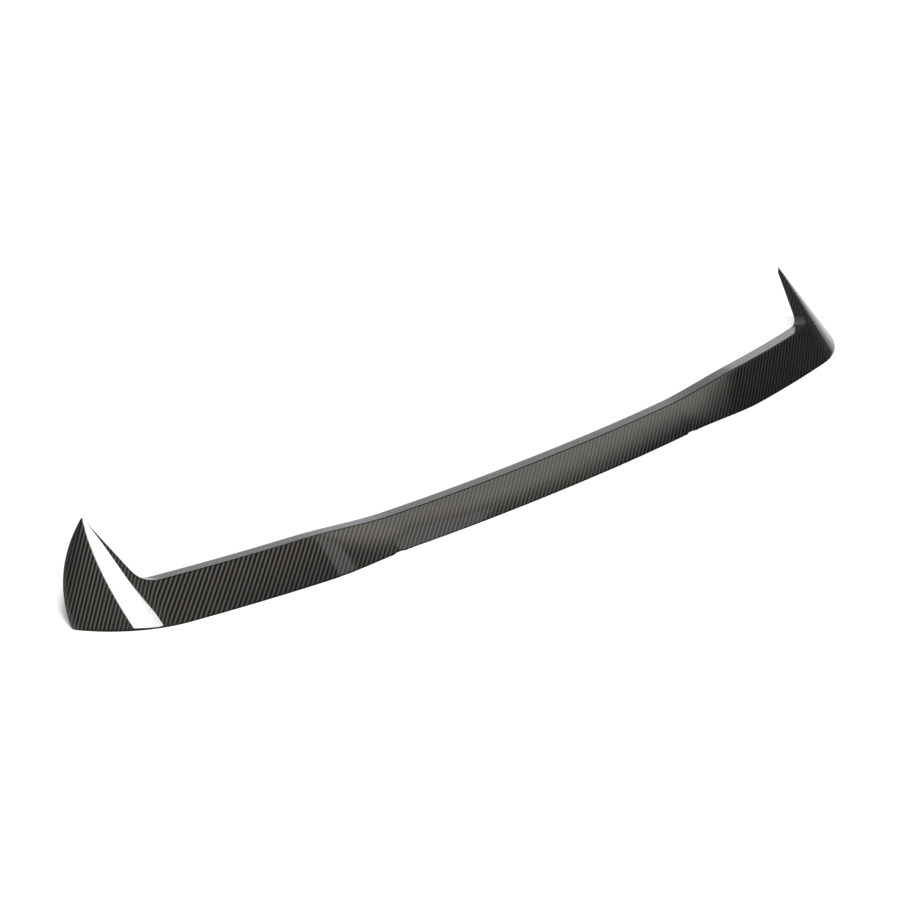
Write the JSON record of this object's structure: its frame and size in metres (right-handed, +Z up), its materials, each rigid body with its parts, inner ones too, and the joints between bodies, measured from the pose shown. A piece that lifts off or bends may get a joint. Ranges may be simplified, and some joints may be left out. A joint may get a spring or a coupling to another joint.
{
  "type": "rear spoiler lip",
  "caption": "Wide, shallow rear spoiler lip of glossy woven carbon: bowed, sloping rear face, rounded ridge, narrow front shelf, and a pointed horn rising forward at each end.",
  "frame": {"origin": "the middle of the lower edge, on its rear side, at the level the trimmed edge rests on", "axes": "X across the car along the piece, Y forward from the rear face towards the boot lid, Z up"},
  "size_m": [1.2516, 0.1594, 0.0929],
  "materials": {
    "carbon_laminate": "clear-coated twill weave, high gloss"
  },
  "bodies": {
    "root": {"spoiler_shell": "carbon_laminate"}
  },
  "joints": []
}
